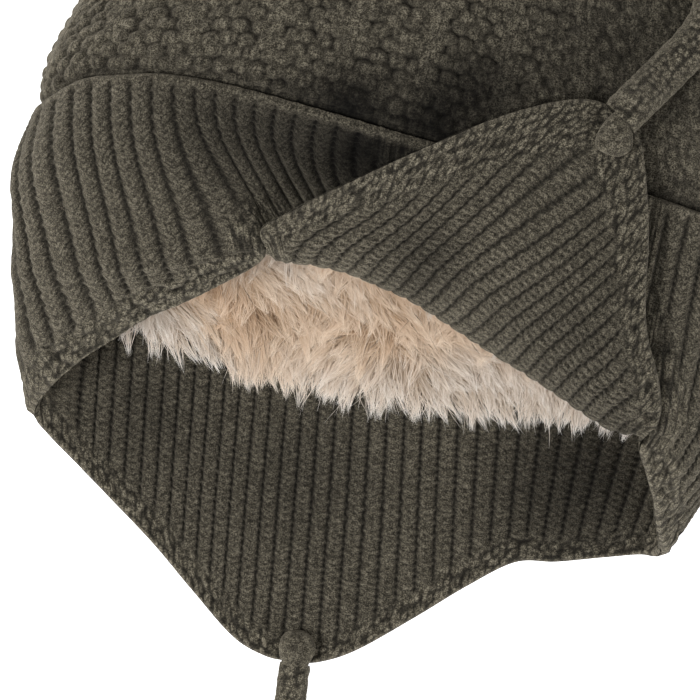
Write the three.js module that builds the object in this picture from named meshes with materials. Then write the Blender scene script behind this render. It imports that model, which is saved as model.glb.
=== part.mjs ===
// A knitted hat with two ear flaps, lying flat on its far side. Millimetres, +Z up.
// The hat's own axis is +Y, towards the crown, and the surface that it lies on is z = 0.
// The near flap is turned up over the cuff, and the far flap lies flat below the opening.

import * as THREE from 'three';

// Knitted wall and its ribs, which run from the cuff's top edge to the hem.
const RIBS = 84;
const WALL = 3.6;
const RIB_RELIEF = 0.75;
const BORDER = 11;
const GAP = 0.4;

// Rows of the cuff's mesh, from its top edge (0) over the fold line (0.5) to the hem (1).
const CUFF_ROWS = [0, 0.12, 0.25, 0.38, 0.45, 0.5, 0.55, 0.66, 0.83, 1];
const STEPS_PER_RIB = 2;

// The crown: a dome from inside the cuff's top edge, which then bulges out nearly flush with it.
// A row is degrees up the dome and how far its middle lies inside the middle of the cuff's wall.
const CROWN_WALL = 4;
const CROWN_TOP = { x: 0, y: 141.5, z: 22 };
const CROWN_TUCK = 5;
const CROWN_RIM_INSET = WALL / 2 + RIB_RELIEF + GAP + CROWN_WALL / 2;
const CROWN_COLUMNS = 42;
const CROWN_ROWS = [
  [0.8, 4.9], [3.5, 1.8], [6.5, -0.4], [11, 0.8], [17, 2], [26, 2], [37, 2], [48, 2],
  [59, 2], [70, 2], [81, 2],
];
const FLAT_BELOW = 16;

// The lining inside both.
const LINING_WALL = 8.5;
const LINING_COLUMNS = 60;
const LINING_SLACK = 1.5;
const LINING_INSET = CROWN_RIM_INSET + CROWN_WALL / 2 + GAP + LINING_SLACK + LINING_WALL / 2;
const LINING_ROWS_DEG = [7, 19, 32, 45, 58];
const LOCK_REACH = 6;
const LOCK_RELIEF = 0.8;

// Ties and the knobs where they are sewn on.
const TIE_SIDES = 10;
const TIE_THICK = 9;
const NEAR_TIE_WIDTH = 14;
const FAR_TIE_WIDTH = 10.5;
const KNOB = { width: 11.5, long: 9, high: 7 };

// Lines around the cuff. A row is a place on the wall's middle: rib number, x, y, z.
// Ribs 0 to 42 are on the near side from left to right, 42 to 84 on the far side and back.
const TOP_EDGE = [
  [0, -119.5, 12, 32], [2, -116, 17, 45], [4, -107, 24.5, 54], [6, -95.8, 28, 60.5],
  [8, -83, 30.8, 65], [11, -63.5, 31.6, 68.5], [16, -31, 29.8, 70.8], [21, 2.5, 27.4, 71],
  [26, 35, 27, 70], [31, 67.5, 25.5, 68], [34, 87, 23.3, 65], [36, 98, 21, 60.5],
  [38, 108, 17.5, 54], [40, 116, 12.5, 45], [42, 119.5, 8.5, 32], [44, 117, 7, 17],
  [46, 109.5, 8, 7.5], [49, 86, 9, 3], [56, 25, 10, 2], [63, -14, 10, 2],
  [70, -50, 10, 2], [77, -86, 9.5, 2.5], [80, -102, 9, 5], [82, -113, 10, 13],
];
const HEM = [
  [1.5, -90.5, -60.5, 32], [3, -83.5, -53.5, 37.5], [5, -73, -43.5, 42.5],
  [7, -61.5, -35.5, 47], [8, -54, -29.5, 50], [9.5, -41, -17.5, 56], [10.3, -44, -10, 61],
  [11, -37, -3.5, 64.5], [12, -28.5, 3.5, 68], [14, -11, 16.7, 74], [16, 7, 29.5, 79],
  [18, 24.5, 41, 79], [20, 44.5, 49.5, 76.5], [21, 56.5, 48, 75.5], [22, 64, 41, 75.5],
  [24, 69.5, 26, 76], [26, 73.5, 10, 75], [28, 76, -6, 73.5], [30, 79.5, -18, 71],
  [31.5, 86, -31, 67], [32.6, 88.5, -42, 62], [33.5, 84.5, -50.5, 57], [35, 88, -58, 49],
  [37, 92.5, -66, 41], [39, 95.5, -73.5, 31], [41, 99, -80.5, 19], [42, 100, -83, 13],
  [44, 98.5, -84.5, 6], [46, 94, -85, 3], [48, 84, -88, 2.2], [51, 68.5, -92.8, 2],
  [53.5, 56, -95.6, 2], [56, 42.8, -106, 2], [59, 28, -119.8, 2], [62, 11.7, -134, 2],
  [64, 1, -139.8, 2], [65.5, -7.5, -141.2, 2], [67, -15.5, -141.2, 2], [69, -26.3, -137.6, 2],
  [72, -42, -126, 2], [75, -58, -113.5, 2], [78, -75.5, -101.5, 2], [80, -88, -93, 3.2],
  [81, -96, -87.5, 6.5], [82, -102.5, -81.5, 12], [83.3, -99.5, -72.5, 23],
];
// The cuff below its top edge: it bulges at both sides and sinks behind the turned flap.
const BELOW_TOP = [
  [-0.7, -121.3, -10, 34], [1.3, -117.8, -6, 46], [3, -108, 1, 55.5], [5, -96.5, 5, 60.5],
  [8, -78, 11.5, 66], [9.5, -68, 15, 65], [12, -53, 15.5, 62], [14, -41.5, 15, 59.5],
  [16, -28.5, 13, 58], [18, -15, 12, 57.5], [20, -1, 10, 58], [22, 11, 8, 60],
  [24, 23.5, 6, 62], [26, 36, 4, 63], [28, 49, 1, 64], [30, 62, -2, 64], [32, 74.5, -5, 64],
  [33.5, 84, -7, 63.5], [35, 93.5, -8, 62], [37, 104.5, -9, 57], [39, 114, -10, 49],
  [41, 120.5, -12, 39], [42, 122, -13, 33], [44, 119, -14, 16],
];
// The fold of the turned flap, and beside it the stretch just above the hem.
const FOLD = [
  [-1.4, -115.5, -38, 31], [0.6, -110.5, -36, 40], [3, -93.5, -32, 50], [5, -81.5, -29, 54],
  [8, -60, -20.5, 57], [9.5, -44.5, -14, 58], [10.5, -36.5, -16, 54], [12, -27, -15.4, 54],
  [14, -16, -15.6, 54], [16, -5.5, -17.5, 54], [18, 5, -19.6, 54], [20, 15, -23, 54],
  [22, 25, -27, 54], [24, 35, -31, 54], [26, 45, -34.6, 54], [28, 55, -38.4, 54],
  [30, 65, -42.5, 54], [32, 76.5, -46, 55], [33.5, 87, -44, 59], [35, 94, -43, 55.5],
  [37, 103, -42, 51], [39, 110.5, -42, 43], [41, 114, -42, 33], [42, 114.5, -42, 29],
  [44, 112, -43, 14],
];
// Halfway up the turned flap, and beside it the hem border of the cuff.
const ABOVE_FOLD = [
  [-2, -109.8, -62, 22], [0, -104.5, -55.5, 33], [3, -86.5, -43, 44.5], [5, -76.5, -36.5, 48.5],
  [8, -56.5, -25, 54], [9.5, -42.8, -16, 57], [10.5, -40, -11, 60], [12, -28.5, -5, 63],
  [14, -12, 1.5, 66.5], [16, 2, 7, 70.5], [18, 15, 12, 74], [20, 30, 14, 76.5], [22, 44.5, 8, 77],
  [24, 53, -1, 76], [26, 60, -11, 73.5], [28, 67, -21.5, 71], [30, 74, -30, 68],
  [32, 83.5, -39.5, 62.5], [33.5, 86, -47.5, 58], [35, 91.5, -51, 52.5], [37, 98.5, -55, 47],
  [39, 104, -59, 38], [41, 106, -63, 28], [42, 106.5, -65, 22], [44, 104.5, -67, 10],
];
// The roll of the fold: how far it reaches to both sides of the fold line as a share of the way
// to the lines beside it, and how far it sinks before and rises after it, in radii.
const ROLL_REACH = { before: 0.7, after: 0.35 };
const ROLL_HEIGHT = { before: 0.9, after: 0.55 };
// How round the fold is: rib number, radius.
const ROLL = [
  [9, 0], [10.5, 2.5], [12, 5], [15, 7.5], [28, 7.5], [30, 6.5], [32, 2.5], [33.5, 0], [84, 0],
];
// The lining's hem, in the middle of its wall: rib number, x, y, z.
const LINING_HEM = [
  [0, -103.8, -38, 27], [2, -101.5, -34, 35], [5, -82, -27, 46], [8, -62, -12, 48.5],
  [12, -38, -7, 43], [16, -12, -10, 40.5], [20, 10, -15, 40.5], [24, 31, -24, 41.5],
  [28, 51, -31, 41.5], [31, 67, -35, 43.5], [35, 87.5, -37, 46.5], [38, 99, -38, 41.5],
  [40, 102.5, -38, 33], [42, 103, -38, 24.5], [44, 101, -38, 17.5], [46, 94, -38, 12.5],
  [50, 71, -40, 10], [57, 34, -47, 9.8], [64, -5, -48, 9.8], [72, -46, -48, 9.8],
  [79, -81, -44, 10.8], [82, -95, -41, 16],
];
// Middle lines of the ties, from the knob at the flap's tip to the free end.
const NEAR_TIE_PATH = [
  [56.4, 45.8, 82.7], [59.2, 50, 82.2], [62, 54.2, 78.6], [64.8, 58.4, 74.4],
  [67.6, 62.6, 71.6], [70.3, 66.8, 69.9], [73, 71.1, 68.5], [75.4, 75.5, 67.1],
  [77.2, 80.2, 65.6], [78.1, 85.1, 63.9], [77.9, 90.1, 62], [76.6, 94.9, 60.3],
  [74.4, 99.4, 59], [71.6, 103.5, 57.7], [68.4, 107.3, 56.8], [65.4, 110.8, 56.1],
];
const FAR_TIE_PATH = [
  [-5.6, -141.5, 5], [-5.4, -145.5, 5], [-5.1, -149, 5], [-4.8, -152.5, 5],
  [-4.5, -156.5, 5], [-4.1, -160.5, 5], [-3.7, -164.5, 5], [-3.2, -168.5, 5],
  [-2.8, -172.5, 5], [-2.3, -176.5, 5], [-1.8, -181, 5], [-1.3, -185.5, 5],
  [-0.7, -190, 5], [-0.2, -194.5, 5], [0.5, -199, 5], [1.2, -204, 5],
];
const NEAR_KNOB = { x: 56.2, y: 38.4, z: 81.5 };
const FAR_KNOB = { x: -6.2, y: -135.2, z: 8 };

const YARN = new THREE.MeshStandardMaterial({ color: 0x5b564d, roughness: 0.95, metalness: 0 });
const FUR = new THREE.MeshStandardMaterial({ color: 0xd8bfa3, roughness: 1, metalness: 0 });

// A smooth curve through rows of [key, ...values]; with a period it closes on itself.
function smooth(rows, period = 0) {
  const width = rows[0].length - 1;
  const last = rows.length - 1;
  const row = (k) => {
    if (!period) return rows[Math.min(Math.max(k, 0), last)];
    const turn = Math.floor(k / rows.length);
    const [key, ...rest] = rows[k - turn * rows.length];
    return [key + turn * period, ...rest];
  };
  const slope = (k, c) => {
    const a = row(k - 1);
    const b = row(k + 1);
    return b[0] === a[0] ? 0 : (b[c] - a[c]) / (b[0] - a[0]);
  };
  return (key) => {
    const first = rows[0][0];
    const at = period ? first + ((((key - first) % period) + period) % period) : key;
    let k = period ? rows.length - 1 : last - 1;
    while (k > 0 && row(k)[0] > at) k -= 1;
    const a = row(k);
    const b = row(k + 1);
    const long = b[0] - a[0];
    const t = Math.min(Math.max((at - a[0]) / long, 0), 1);
    const values = [];
    for (let c = 1; c <= width; c += 1) {
      const m0 = slope(k, c) * long;
      const m1 = slope(k + 1, c) * long;
      const rise = b[c] - a[c];
      values.push(a[c] + t * (m0 + t * (3 * rise - 2 * m0 - m1 + t * (m0 + m1 - 2 * rise))));
    }
    return values;
  };
}

const asPoint = (values) => new THREE.Vector3(...values);
const between = (a, b, share) => a.clone().lerp(b, share);

// On the far side the wall is flat, so there a line lies at its share of the way to the hem.
const FAR_RIBS = [46, 48, 51, 54, 57, 60, 63, 66, 69, 72, 75, 78, 80];
const topEdge = smooth(TOP_EDGE, RIBS);
const hem = smooth(HEM, RIBS);
function lineWithFarSide(nearRows, share) {
  const farRows = FAR_RIBS.map((rib) => [
    rib,
    ...between(asPoint(topEdge(rib)), asPoint(hem(rib)), share).toArray(),
  ]);
  return smooth([...nearRows, ...farRows], RIBS);
}
const belowTop = lineWithFarSide(BELOW_TOP, 0.25);
const fold = lineWithFarSide(FOLD, 0.5);
const aboveFold = lineWithFarSide(ABOVE_FOLD, 0.8);
const roll = smooth(ROLL);
const liningHem = smooth(LINING_HEM, RIBS);

// The middle of the cuff's wall, at a rib number and a share of the way from top edge to hem.
function cuffMiddle(rib, share) {
  const radius = Math.max(roll(((rib % RIBS) + RIBS) % RIBS)[0], 0);
  const f = asPoint(fold(rib));
  const a = asPoint(belowTop(rib));
  const d = asPoint(aboveFold(rib));
  const before = between(a, f, ROLL_REACH.before);
  const after = between(f, d, ROLL_REACH.after);
  before.z -= radius * ROLL_HEIGHT.before;
  after.z += radius * ROLL_HEIGHT.after;
  const section = smooth([
    [0, ...topEdge(rib)],
    [0.25, ...a.toArray()],
    [0.4, ...before.toArray()],
    [0.5, ...f.toArray()],
    [0.6, ...after.toArray()],
    [0.8, ...d.toArray()],
    [1, ...hem(rib)],
  ]);
  return asPoint(section(share));
}

// The direction out of the hat at that place.
function cuffOutward(rib, share) {
  const small = 0.01;
  const low = Math.max(share - small, 0);
  const high = Math.min(share + small, 1);
  const along = cuffMiddle(rib, high).sub(cuffMiddle(rib, low));
  const around = cuffMiddle(rib + 0.15, share).sub(cuffMiddle(rib - 0.15, share));
  return along.cross(around).normalize();
}

// A closed wall between two faces of points, given as faces[row][column]; columns close round.
// With poles, each face ends in one point instead of a second rim.
function wallBetween(outer, inner, poles = null) {
  const columns = outer[0].length;
  const rows = outer.length;
  const points = [...outer.flat(), ...inner.flat(), ...(poles ?? [])];
  const index = [];
  const at = (face, row, column) => face * rows * columns + row * columns + (column % columns);
  const quad = (a, b, c, d) => index.push(a, b, c, a, c, d);
  for (let column = 0; column < columns; column += 1) {
    for (let row = 0; row + 1 < rows; row += 1) {
      const [a, b, c, d] = [at(0, row, column), at(0, row + 1, column),
        at(0, row + 1, column + 1), at(0, row, column + 1)];
      const inward = rows * columns;
      quad(a, b, c, d);
      quad(a + inward, d + inward, c + inward, b + inward);
    }
    const last = rows - 1;
    quad(at(0, 0, column), at(0, 0, column + 1), at(1, 0, column + 1), at(1, 0, column));
    if (poles) {
      const top = 2 * rows * columns;
      index.push(at(0, last, column), top, at(0, last, column + 1));
      index.push(at(1, last, column), at(1, last, column + 1), top + 1);
    } else {
      quad(at(0, last, column), at(1, last, column), at(1, last, column + 1), at(0, last, column + 1));
    }
  }
  return closedMesh(points, index);
}

// A geometry whose faces point out, from points and triangles that close a body.
function closedMesh(points, index) {
  let volume = 0;
  for (let k = 0; k < index.length; k += 3) {
    const [a, b, c] = [points[index[k]], points[index[k + 1]], points[index[k + 2]]];
    volume += a.dot(b.clone().cross(c));
  }
  const facing = volume > 0 ? index : index.map((_, k) => index[k - (k % 3) + 2 - (k % 3)]);
  const geometry = new THREE.BufferGeometry();
  geometry.setAttribute('position', new THREE.Float32BufferAttribute(points.flatMap((p) => p.toArray()), 3));
  geometry.setIndex(facing);
  geometry.computeVertexNormals();
  return geometry;
}

// Cloth is flattened where it rests on the surface.
function rested(point) {
  if (point.z < 0) point.z = 0;
  return point;
}

// The ribbed band with both flaps. The ribs fade into a plain border along the hem.
function cuff() {
  const columns = RIBS * STEPS_PER_RIB;
  const faces = [1, -1].map((side) => CUFF_ROWS.map((share) => {
    const row = [];
    for (let column = 0; column < columns; column += 1) {
      const rib = column / STEPS_PER_RIB;
      const middle = cuffMiddle(rib, share);
      const fromHem = middle.distanceTo(asPoint(hem(rib)));
      const relief = RIB_RELIEF * (column % 2 ? -1 : 1) * Math.min(fromHem / BORDER, 1);
      row.push(rested(middle.addScaledVector(cuffOutward(rib, share), (side * WALL) / 2 + relief)));
    }
    return row;
  }));
  return wallBetween(faces[0], faces[1]);
}

// A dome that starts inside the cuff's top edge and ends at the crown's top.
// inset is how far its middle lies inside the middle of the cuff's wall.
function domeMiddle(rib, degrees, inset) {
  const edge = asPoint(topEdge(rib));
  const start = edge.clone().addScaledVector(cuffOutward(rib, 0), -inset);
  const turn = THREE.MathUtils.degToRad(degrees);
  const level = Math.cos(turn);
  const top = domeTop(inset);
  // The far side is pressed flat on the surface.
  const flat = THREE.MathUtils.clamp((FLAT_BELOW - edge.z) / FLAT_BELOW, 0, 1)
    * THREE.MathUtils.smoothstep(degrees, 3, 12);
  const base = THREE.MathUtils.lerp(start.z, CROWN_WALL / 2 + inset, flat);
  return new THREE.Vector3(
    top.x + (start.x - top.x) * level,
    start.y + (top.y - start.y) * Math.sin(turn),
    top.z + (base - top.z) * level ** (base > top.z ? 0.85 : 0.5),
  );
}

function domeTop(inset) {
  return new THREE.Vector3(CROWN_TOP.x, CROWN_TOP.y - inset, CROWN_TOP.z);
}

function domeOutward(rib, degrees, inset) {
  const along = domeMiddle(rib, degrees - 1, inset).sub(domeMiddle(rib, degrees + 1, inset));
  const around = domeMiddle(rib + 0.3, degrees, inset).sub(domeMiddle(rib - 0.3, degrees, inset));
  return along.cross(around).normalize();
}

// The textured dome; its rim is tucked inside the cuff.
function crown() {
  const ribs = Array.from({ length: CROWN_COLUMNS }, (_, k) => (k * RIBS) / CROWN_COLUMNS);
  const faces = [1, -1].map((side) => {
    const tucked = ribs.map((rib) => {
      const share = CROWN_TUCK / asPoint(topEdge(rib)).distanceTo(asPoint(belowTop(rib))) / 4;
      return cuffMiddle(rib, share)
        .addScaledVector(cuffOutward(rib, share), (side * CROWN_WALL) / 2 - CROWN_RIM_INSET);
    });
    const rows = CROWN_ROWS.map(([degrees, inset]) => ribs.map((rib) => rested(
      domeMiddle(rib, degrees, inset)
        .addScaledVector(domeOutward(rib, degrees, inset), (side * CROWN_WALL) / 2),
    )));
    return [tucked, ...rows];
  });
  return wallBetween(faces[0], faces[1], domePoles(CROWN_ROWS.at(-1)[1], CROWN_WALL));
}

function domePoles(inset, wall) {
  return [1, -1].map((side) => {
    const pole = domeTop(inset);
    pole.y += (side * wall) / 2;
    return pole;
  });
}

// The fur lining: a padded wall with raised locks inside, and the tips of locks along its hem.
function lining() {
  const ribs = Array.from({ length: LINING_COLUMNS }, (_, k) => (k * RIBS) / LINING_COLUMNS);
  const hemRow = ribs.map((rib) => asPoint(liningHem(rib)));
  const waist = ribs.map((rib) => cuffMiddle(rib, 0.25)
    .addScaledVector(cuffOutward(rib, 0.25), -LINING_INSET));
  // Below the roll of the turned flap the lining sinks with it.
  const sunk = [0.35, 0.7].map((share) => ribs.map((rib, k) => {
    const place = between(hemRow[k], waist[k], share);
    place.z -= Math.max(roll(rib)[0], 0) * Math.sin(Math.PI * share);
    return place;
  }));
  const dome = LINING_ROWS_DEG.map((degrees) => ribs
    .map((rib) => domeMiddle(rib, degrees, LINING_INSET)));
  const rows = [hemRow, ...sunk, waist, ...dome];
  const outward = (row, k) => {
    const next = rows[Math.min(row + 1, rows.length - 1)];
    const before = rows[Math.max(row - 1, 0)];
    const around = rows[row][(k + 1) % ribs.length].clone()
      .sub(rows[row][(k + ribs.length - 1) % ribs.length]);
    return before[k].clone().sub(next[k]).cross(around).normalize();
  };
  const outer = rows.map((row, r) => row.map((place, k) => place.clone()
    .addScaledVector(outward(r, k), LINING_WALL / 2)));
  const inner = rows.map((row, r) => row.map((place, k) => {
    const lock = (r + k) % 2 ? LOCK_RELIEF : -LOCK_RELIEF;
    return place.clone().addScaledVector(outward(r, k), lock - LINING_WALL / 2);
  }));
  // Every second lock of the hem hangs further out, and all of them thin out towards their tips.
  inner[0] = rows[0].map((place, k) => {
    const away = place.clone().sub(rows[1][k]).normalize();
    return place.clone().addScaledVector(away, k % 2 ? LOCK_REACH : 0)
      .addScaledVector(outward(0, k), LINING_WALL * 0.1);
  });
  return wallBetween(outer, inner, domePoles(LINING_INSET, LINING_WALL));
}

// A tube with an oval section along a smooth path, its wider side lying flat.
function tie(path, width) {
  const section = new THREE.Shape(Array.from({ length: TIE_SIDES }, (_, k) => {
    const turn = (2 * Math.PI * k) / TIE_SIDES;
    return new THREE.Vector2((Math.cos(turn) * TIE_THICK) / 2, (Math.sin(turn) * width) / 2);
  }));
  const curve = new THREE.CatmullRomCurve3(path.map(asPoint));
  const steps = Math.round(curve.getLength() / (width * 0.6));
  return new THREE.ExtrudeGeometry(section, { steps, extrudePath: curve, bevelEnabled: false });
}

// The knob where a tie is sewn on.
function knob() {
  const geometry = new THREE.SphereGeometry(1, 10, 6);
  geometry.scale(KNOB.width / 2, KNOB.long / 2, KNOB.high / 2);
  return geometry;
}

function piece(name, geometry, material, place = { x: 0, y: 0, z: 0 }) {
  const mesh = new THREE.Mesh(geometry, material);
  mesh.name = name;
  mesh.position.copy(place);
  return mesh;
}

const hat = new THREE.Group();
hat.add(
  piece('cuff', cuff(), YARN),
  piece('crown', crown(), YARN),
  piece('lining', lining(), FUR),
  piece('tie_near', tie(NEAR_TIE_PATH, NEAR_TIE_WIDTH), YARN),
  piece('tie_near_knob', knob(), YARN, NEAR_KNOB),
  piece('tie_far', tie(FAR_TIE_PATH, FAR_TIE_WIDTH), YARN),
  piece('tie_far_knob', knob(), YARN, FAR_KNOB),
);

export default hat;
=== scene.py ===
# A knitted hat with ear flaps and a fur lining, lying flat, seen from straight above.
# Places are in mm, apart from the camera, the middle lines of the ties and the lights, which are in metres.
import math
import bpy
import numpy as np
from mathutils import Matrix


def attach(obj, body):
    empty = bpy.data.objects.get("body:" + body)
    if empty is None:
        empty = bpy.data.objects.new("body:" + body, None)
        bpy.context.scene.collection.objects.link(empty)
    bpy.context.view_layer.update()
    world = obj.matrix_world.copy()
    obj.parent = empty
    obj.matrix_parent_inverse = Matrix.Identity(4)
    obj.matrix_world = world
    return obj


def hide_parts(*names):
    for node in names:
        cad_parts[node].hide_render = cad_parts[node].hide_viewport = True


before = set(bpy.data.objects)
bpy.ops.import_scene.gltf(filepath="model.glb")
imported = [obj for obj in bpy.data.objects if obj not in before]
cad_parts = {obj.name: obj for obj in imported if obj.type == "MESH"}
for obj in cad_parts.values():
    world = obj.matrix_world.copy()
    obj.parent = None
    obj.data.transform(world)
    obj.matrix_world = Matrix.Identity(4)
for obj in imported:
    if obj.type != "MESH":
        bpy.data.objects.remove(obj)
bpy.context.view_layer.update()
MM = 0.001
scene = bpy.context.scene

# Camera: straight above, rolled so that the hat's axis leans to the right in the picture.
CAMERA_OVER = (-0.0093, -0.0405)
CAMERA_HEIGHT = 2.0
VIEW_WIDTH = 0.21875
VIEW_LEVEL = 0.035
SENSOR_MM = 36
LEAN_DEG = 12


def make_camera():
    data = bpy.data.cameras.new("camera")
    data.sensor_width = SENSOR_MM
    data.lens = SENSOR_MM * (CAMERA_HEIGHT - VIEW_LEVEL) / VIEW_WIDTH
    camera = bpy.data.objects.new("camera", data)
    camera.location = (*CAMERA_OVER, CAMERA_HEIGHT)
    camera.rotation_euler = (0, 0, math.radians(LEAN_DEG))
    scene.collection.objects.link(camera)
    scene.camera = camera


make_camera()

# Middle lines of the ties, in metres, from the flap's tip to the free end.
NEAR_TIE_PATH = [
    (0.0564, 0.0458, 0.0827), (0.0592, 0.0500, 0.0822), (0.0620, 0.0542, 0.0786), (0.0648, 0.0584, 0.0744),
    (0.0676, 0.0626, 0.0716), (0.0703, 0.0668, 0.0699), (0.0730, 0.0711, 0.0685), (0.0754, 0.0755, 0.0671),
    (0.0772, 0.0802, 0.0656), (0.0781, 0.0851, 0.0639), (0.0779, 0.0901, 0.0620), (0.0766, 0.0949, 0.0603),
    (0.0744, 0.0994, 0.0590), (0.0716, 0.1035, 0.0577), (0.0684, 0.1073, 0.0568), (0.0654, 0.1108, 0.0561),
]
FAR_TIE_PATH = [
    (-0.0056, -0.1415, 0.005), (-0.0054, -0.1455, 0.005), (-0.0051, -0.1490, 0.005),
    (-0.0048, -0.1525, 0.005), (-0.0045, -0.1565, 0.005), (-0.0041, -0.1605, 0.005),
    (-0.0037, -0.1645, 0.005), (-0.0032, -0.1685, 0.005), (-0.0028, -0.1725, 0.005),
    (-0.0023, -0.1765, 0.005), (-0.0018, -0.1810, 0.005), (-0.0013, -0.1855, 0.005),
    (-0.0007, -0.1900, 0.005), (-0.0002, -0.1945, 0.005), (0.0005, -0.1990, 0.005),
    (0.0012, -0.2040, 0.005),
]
TIE_THICK = 9
NEAR_TIE_WIDTH = 13.4
FAR_TIE_WIDTH = 10.4

# Ribs around the whole cuff: the near half lies on top and the far half on the floor.
RIBS = 84
NEAR_HALF = (0, 42)
FAR_HALF = (42, 84)
# The knitted wall's thickness, the length of one stitch along a rib, and a rib's height.
WALL = 3.6
COURSE = 2.15
RIB_HEIGHT = 1.5
# Widths of the knotty border and the rolled band along the hem, and of the welt along the top edge.
BORDER = 12
HEM_BAND = 2
TOP_WELT = 2.6
# The crown: its wall, its top, how deep its rim lies in the cuff, and the height below which it lies flat.
CROWN_WALL = 4
CROWN_TOP = (0, 141.5, 22)
CROWN_RIM_INSET = 4.95
FLAT_BELOW = 16
# The lining: its padded wall, and how far the wall's middle lies inside the middle of the cuff's wall.
LINING_WALL = 8.5
LINING_SLACK = 1.5
PIECE_GAP = 0.4
LINING_INSET = CROWN_RIM_INSET + CROWN_WALL / 2 + PIECE_GAP + LINING_SLACK + LINING_WALL / 2
# How far inside its solid's face the knitted relief of the crown and of the ties begins.
CROWN_RELIEF_INSET = 0.4
TIE_RELIEF_INSET = 0.3

# Lines around the cuff: rib number, x, y, z of the wall's middle. First the top edge.
TOP_EDGE = [
    (0, -119.5, 12, 32), (2, -116, 17, 45), (4, -107, 24.5, 54), (6, -95.8, 28, 60.5),
    (8, -83, 30.8, 65), (11, -63.5, 31.6, 68.5), (16, -31, 29.8, 70.8), (21, 2.5, 27.4, 71),
    (26, 35, 27, 70), (31, 67.5, 25.5, 68), (34, 87, 23.3, 65), (36, 98, 21, 60.5),
    (38, 108, 17.5, 54), (40, 116, 12.5, 45), (42, 119.5, 8.5, 32), (44, 117, 7, 17),
    (46, 109.5, 8, 7.5), (49, 86, 9, 3), (56, 25, 10, 2), (63, -14, 10, 2),
    (70, -50, 10, 2), (77, -86, 9.5, 2.5), (80, -102, 9, 5), (82, -113, 10, 13),
]
# The hem of both flaps.
HEM = [
    (1.5, -90.5, -60.5, 32), (3, -83.5, -53.5, 37.5), (5, -73, -43.5, 42.5),
    (7, -61.5, -35.5, 47), (8, -54, -29.5, 50), (9.5, -41, -17.5, 56), (10.3, -44, -10, 61),
    (11, -37, -3.5, 64.5), (12, -28.5, 3.5, 68), (14, -11, 16.7, 74), (16, 7, 29.5, 79),
    (18, 24.5, 41, 79), (20, 44.5, 49.5, 76.5), (21, 56.5, 48, 75.5), (22, 64, 41, 75.5),
    (24, 69.5, 26, 76), (26, 73.5, 10, 75), (28, 76, -6, 73.5), (30, 79.5, -18, 71),
    (31.5, 86, -31, 67), (32.6, 88.5, -42, 62), (33.5, 84.5, -50.5, 57), (35, 88, -58, 49),
    (37, 92.5, -66, 41), (39, 95.5, -73.5, 31), (41, 99, -80.5, 19), (42, 100, -83, 13),
    (44, 98.5, -84.5, 6), (46, 94, -85, 3), (48, 84, -88, 2.2), (51, 68.5, -92.8, 2),
    (53.5, 56, -95.6, 2), (56, 42.8, -106, 2), (59, 28, -119.8, 2), (62, 11.7, -134, 2),
    (64, 1, -139.8, 2), (65.5, -7.5, -141.2, 2), (67, -15.5, -141.2, 2), (69, -26.3, -137.6, 2),
    (72, -42, -126, 2), (75, -58, -113.5, 2), (78, -75.5, -101.5, 2), (80, -88, -93, 3.2),
    (81, -96, -87.5, 6.5), (82, -102.5, -81.5, 12), (83.3, -99.5, -72.5, 23),
]
# A quarter of the way from the top edge to the hem, on the near half.
BELOW_TOP = [
    (-0.7, -121.3, -10, 34), (1.3, -117.8, -6, 46), (3, -108, 1, 55.5), (5, -96.5, 5, 60.5),
    (8, -78, 11.5, 66), (9.5, -68, 15, 65), (12, -53, 15.5, 62), (14, -41.5, 15, 59.5),
    (16, -28.5, 13, 58), (18, -15, 12, 57.5), (20, -1, 10, 58), (22, 11, 8, 60),
    (24, 23.5, 6, 62), (26, 36, 4, 63), (28, 49, 1, 64), (30, 62, -2, 64), (32, 74.5, -5, 64),
    (33.5, 84, -7, 63.5), (35, 93.5, -8, 62), (37, 104.5, -9, 57), (39, 114, -10, 49),
    (41, 120.5, -12, 39), (42, 122, -13, 33), (44, 119, -14, 16),
]
# Half way, where the near flap is turned up.
FOLD = [
    (-1.4, -115.5, -38, 31), (0.6, -110.5, -36, 40), (3, -93.5, -32, 50), (5, -81.5, -29, 54),
    (8, -60, -20.5, 57), (9.5, -44.5, -14, 58), (10.5, -36.5, -16, 54), (12, -27, -15.4, 54),
    (14, -16, -15.6, 54), (16, -5.5, -17.5, 54), (18, 5, -19.6, 54), (20, 15, -23, 54),
    (22, 25, -27, 54), (24, 35, -31, 54), (26, 45, -34.6, 54), (28, 55, -38.4, 54),
    (30, 65, -42.5, 54), (32, 76.5, -46, 55), (33.5, 87, -44, 59), (35, 94, -43, 55.5),
    (37, 103, -42, 51), (39, 110.5, -42, 43), (41, 114, -42, 33), (42, 114.5, -42, 29),
    (44, 112, -43, 14),
]
# Four fifths of the way, on the turned flap.
ABOVE_FOLD = [
    (-2, -109.8, -62, 22), (0, -104.5, -55.5, 33), (3, -86.5, -43, 44.5), (5, -76.5, -36.5, 48.5),
    (8, -56.5, -25, 54), (9.5, -42.8, -16, 57), (10.5, -40, -11, 60), (12, -28.5, -5, 63),
    (14, -12, 1.5, 66.5), (16, 2, 7, 70.5), (18, 15, 12, 74), (20, 30, 14, 76.5), (22, 44.5, 8, 77),
    (24, 53, -1, 76), (26, 60, -11, 73.5), (28, 67, -21.5, 71), (30, 74, -30, 68),
    (32, 83.5, -39.5, 62.5), (33.5, 86, -47.5, 58), (35, 91.5, -51, 52.5), (37, 98.5, -55, 47),
    (39, 104, -59, 38), (41, 106, -63, 28), (42, 106.5, -65, 22), (44, 104.5, -67, 10),
]
# How round the fold of the turned flap is: rib number, radius.
ROLL = [
    (9, 0), (10.5, 2.5), (12, 5), (15, 7.5), (28, 7.5), (30, 6.5), (32, 2.5), (33.5, 0), (84, 0),
]
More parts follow.
